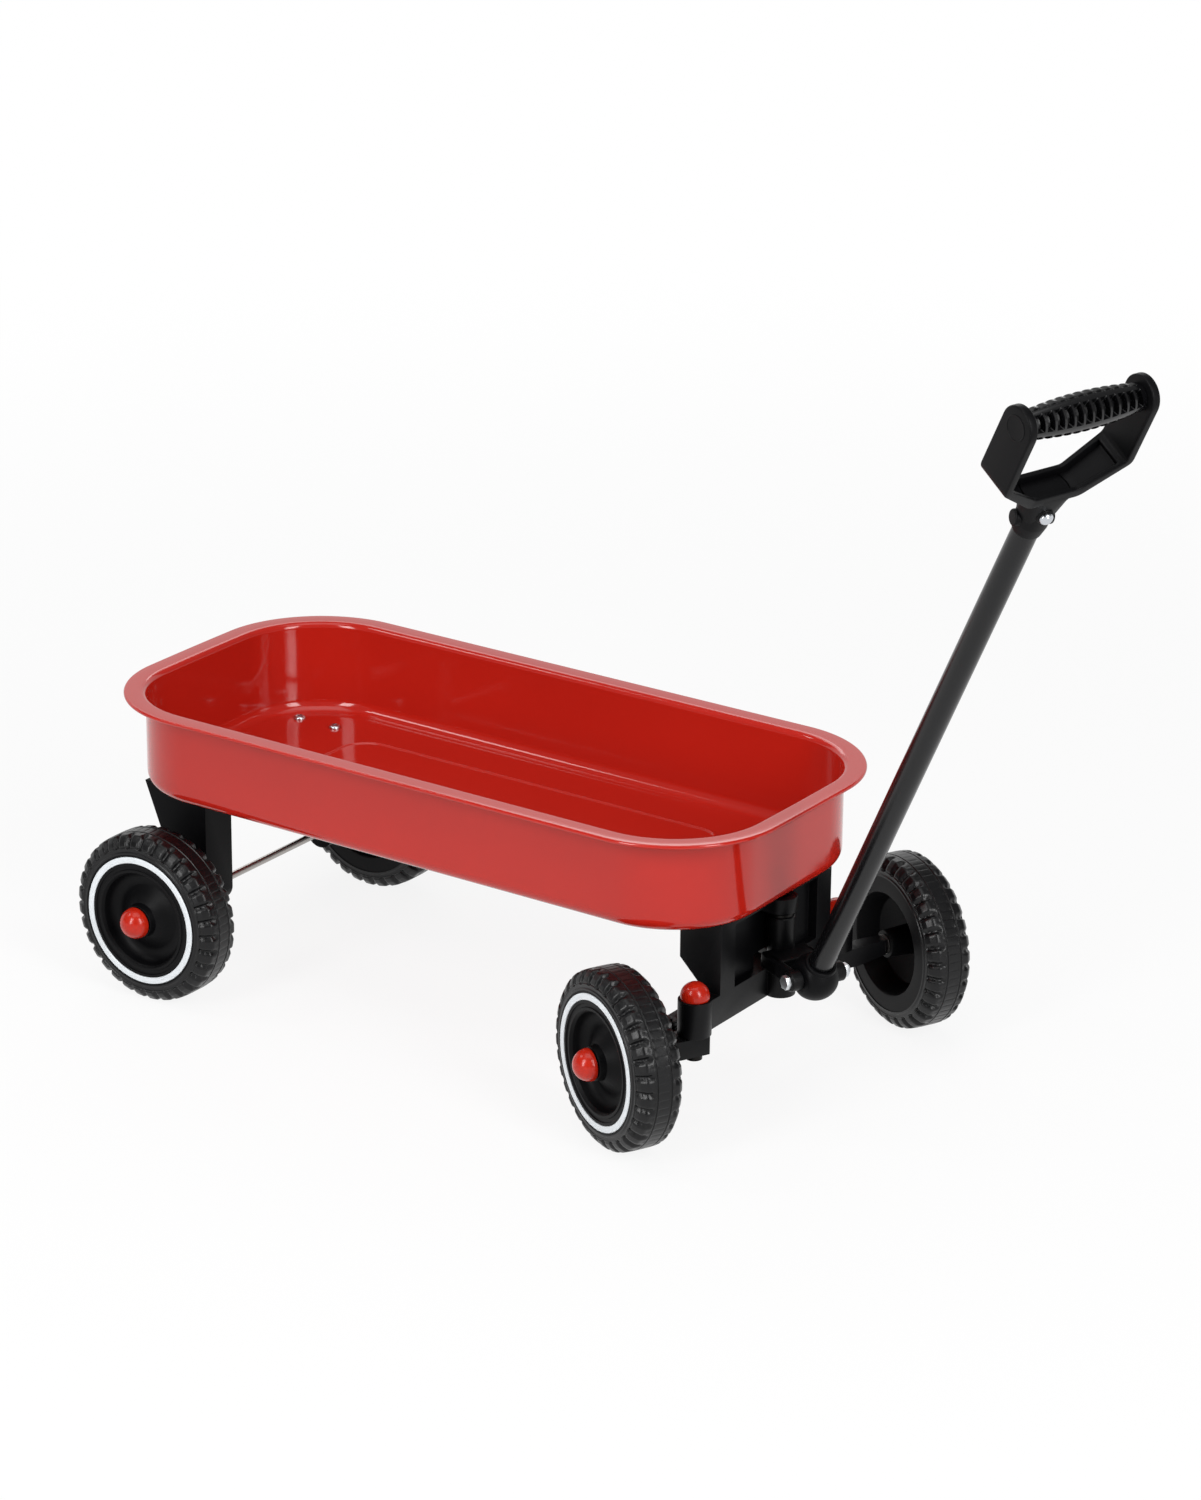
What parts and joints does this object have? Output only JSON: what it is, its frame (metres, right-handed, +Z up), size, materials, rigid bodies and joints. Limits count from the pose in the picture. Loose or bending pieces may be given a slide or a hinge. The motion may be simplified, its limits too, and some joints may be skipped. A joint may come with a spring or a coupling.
{
  "type": "wagon with pull handle",
  "caption": "Low child's pull-along wagon: pressed steel tray with a flat rolled rim on moulded running gear, knuckle-steered front wheels and a tilting drawbar with a D-shaped grip.",
  "frame": {"origin": "bottom centre of the whole wagon's bounding box, on the ground", "axes": "+X forwards towards the pull handle, +Y to the wagon's left, +Z up"},
  "size_m": [0.9379, 0.4192, 0.6562],
  "materials": {
    "red_paint": "gloss enamel on pressed steel",
    "red_plastic": "glossy moulded caps",
    "white_plastic": "semi-gloss white",
    "tyre_rubber": "satin black rubber",
    "wheel_plastic": "satin black moulding",
    "black_plastic": "satin black moulding",
    "grip_plastic": "semi-matte black moulding",
    "black_paint": "satin black powder coat",
    "axle_steel": "drawn bar",
    "zinc_fasteners": "bright zinc plate"
  },
  "bodies": {
    "chassis": {"tray": "red_paint", "tray_screws": "zinc_fasteners", "rear_axle": "axle_steel", "front_bolster": "black_plastic", "steering_pin": "axle_steel", "steering_collar": "axle_steel", "rear_leg_right": "black_plastic", "kingpin_right": "axle_steel", "kingpin_cap_right": "red_plastic", "wheel_cap_rear_right": "red_plastic", "washers_rear_right": "axle_steel", "rear_leg_left": "black_plastic", "kingpin_left": "axle_steel", "kingpin_cap_left": "red_plastic", "wheel_cap_rear_left": "red_plastic", "washers_rear_left": "axle_steel"},
    "knuckle_right": {"knuckle_right": "black_plastic", "stub_axle_right": "axle_steel", "tie_rod_clip_right": "axle_steel", "wheel_cap_front_right": "red_plastic", "washers_front_right": "axle_steel"},
    "knuckle_left": {"knuckle_left": "black_plastic", "stub_axle_left": "axle_steel", "tie_rod_clip_left": "axle_steel", "wheel_cap_front_left": "red_plastic", "washers_front_left": "axle_steel"},
    "wheel_rear_right": {"tyre_rear_right": "tyre_rubber", "wheel_rear_right": "wheel_plastic", "white_ring_rear_right": "white_plastic"},
    "wheel_rear_left": {"tyre_rear_left": "tyre_rubber", "wheel_rear_left": "wheel_plastic", "white_ring_rear_left": "white_plastic"},
    "wheel_front_right": {"tyre_front_right": "tyre_rubber", "wheel_front_right": "wheel_plastic", "white_ring_front_right": "white_plastic"},
    "wheel_front_left": {"tyre_front_left": "tyre_rubber", "wheel_front_left": "wheel_plastic", "white_ring_front_left": "white_plastic"},
    "yoke": {"drawbar_yoke": "black_plastic", "hitch_bolt": "zinc_fasteners", "hitch_nut": "zinc_fasteners", "tie_rod_clip_centre": "axle_steel"},
    "tie_rod": {"tie_rod": "black_plastic"},
    "handle": {"handle_cup": "black_plastic", "handle_tube": "black_paint", "grip_frame": "grip_plastic", "grip_barrel": "grip_plastic", "grip_bolt": "zinc_fasteners", "grip_nut": "zinc_fasteners"}
  },
  "joints": [
    {"name": "steer", "type": "hinge", "parent": "chassis", "child": "yoke", "pos_m": [0.10952, 0.00616, 0.1098], "axis": [0, 0, 1], "range_deg": [-6, 58]},
    {"name": "knuckle_right_steer", "type": "hinge", "parent": "chassis", "child": "knuckle_right", "pos_m": [0.09752, -0.09384, 0.07], "axis": [0, 0, 1], "range_deg": [-6, 58]},
    {"name": "knuckle_left_steer", "type": "hinge", "parent": "chassis", "child": "knuckle_left", "pos_m": [0.09752, 0.10616, 0.07], "axis": [0, 0, 1], "range_deg": [-6, 58]},
    {"name": "tie_rod_swing", "type": "hinge", "parent": "yoke", "child": "tie_rod", "pos_m": [0.07537, 0.02281, 0.0695], "axis": [0, 0, 1], "range_deg": [-58, 6]},
    {"name": "handle_tilt", "type": "hinge", "parent": "yoke", "child": "handle", "pos_m": [0.15464, -0.01585, 0.1098], "axis": [-0.4384, -0.8988, 0], "range_deg": [-67, 32]},
    {"name": "wheel_rear_right_spin", "type": "hinge", "parent": "chassis", "child": "wheel_rear_right", "pos_m": [-0.38828, -0.14024, 0.07], "axis": [0, 1, 0], "continuous": true},
    {"name": "wheel_rear_left_spin", "type": "hinge", "parent": "chassis", "child": "wheel_rear_left", "pos_m": [-0.38828, 0.15256, 0.07], "axis": [0, 1, 0], "continuous": true},
    {"name": "wheel_front_right_spin", "type": "hinge", "parent": "knuckle_right", "child": "wheel_front_right", "pos_m": [0.06876, -0.1528, 0.07], "axis": [0.4384, 0.8988, 0], "continuous": true},
    {"name": "wheel_front_left_spin", "type": "hinge", "parent": "knuckle_left", "child": "wheel_front_left", "pos_m": [0.12628, 0.16512, 0.07], "axis": [0.4384, 0.8988, 0], "continuous": true}
  ],
  "couplings": [
    {"joint": "knuckle_right_steer", "follows": "steer", "ratio": 1},
    {"joint": "knuckle_left_steer", "follows": "steer", "ratio": 1},
    {"joint": "tie_rod_swing", "follows": "steer", "ratio": -1}
  ]
}
